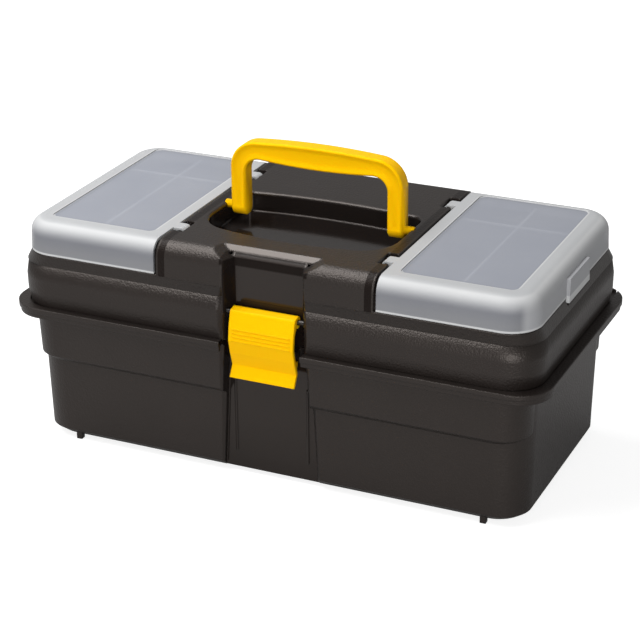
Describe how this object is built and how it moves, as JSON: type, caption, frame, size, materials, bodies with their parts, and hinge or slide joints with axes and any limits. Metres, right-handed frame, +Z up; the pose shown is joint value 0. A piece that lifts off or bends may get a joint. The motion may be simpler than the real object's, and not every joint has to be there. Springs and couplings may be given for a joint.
{
  "type": "tackle box",
  "caption": "Carry box with a hinged lid that holds two organiser bins under frosted covers, a fold-down handle, a front latch and a lift-out tote tray.",
  "frame": {"origin": "on the floor, under the middle of the box, at the tips of the feet", "axes": "+Z up, +X along the length to the right, -Y towards the front latch"},
  "size_m": [0.325, 0.163, 0.1789],
  "materials": {
    "black_shell": "fine leather-grain black polypropylene",
    "tray_black": "smooth dark grey polypropylene",
    "clear_cover": "frosted translucent",
    "divider": "frosted translucent",
    "yellow": "satin yellow polypropylene",
    "steel": "plain wire"
  },
  "bodies": {
    "base": {"base_tub": "black_shell", "hinge_pin_left": "steel", "hinge_pin_right": "steel"},
    "tray": {"tote_tray": "tray_black"},
    "lid": {"lid_shell": "black_shell", "latch_pin": "steel", "divider_long_left": "divider", "divider_inner_left": "divider", "divider_outer_left": "divider", "divider_long_right": "divider", "divider_inner_right": "divider", "divider_outer_right": "divider"},
    "left_cover": {"cover_left": "clear_cover"},
    "right_cover": {"cover_right": "clear_cover"},
    "carry_handle": {"handle": "yellow"},
    "latch": {"front_latch": "yellow"}
  },
  "joints": [
    {"name": "lid_hinge", "type": "hinge", "parent": "base", "child": "lid", "pos_m": [0, 0.079, 0.09], "axis": [-1, 0, 0], "range_deg": [0, 110]},
    {"name": "left_cover_hinge", "type": "hinge", "parent": "lid", "child": "left_cover", "pos_m": [-0.0625, 0, 0.1351], "axis": [0, 1, 0], "range_deg": [0, 100]},
    {"name": "right_cover_hinge", "type": "hinge", "parent": "lid", "child": "right_cover", "pos_m": [0.0625, 0, 0.1351], "axis": [0, -1, 0], "range_deg": [0, 100]},
    {"name": "handle_hinge", "type": "hinge", "parent": "lid", "child": "carry_handle", "pos_m": [0, -0.0006, 0.1365], "axis": [1, 0, 0], "range_deg": [-70, 97]},
    {"name": "latch_hinge", "type": "hinge", "parent": "lid", "child": "latch", "pos_m": [0, -0.0716, 0.1028], "axis": [-1, 0, 0], "range_deg": [0, 110]},
    {"name": "tray_lift", "type": "slide", "parent": "base", "child": "tray", "axis": [0, 0, 1], "range_m": [0, 0.015]}
  ]
}
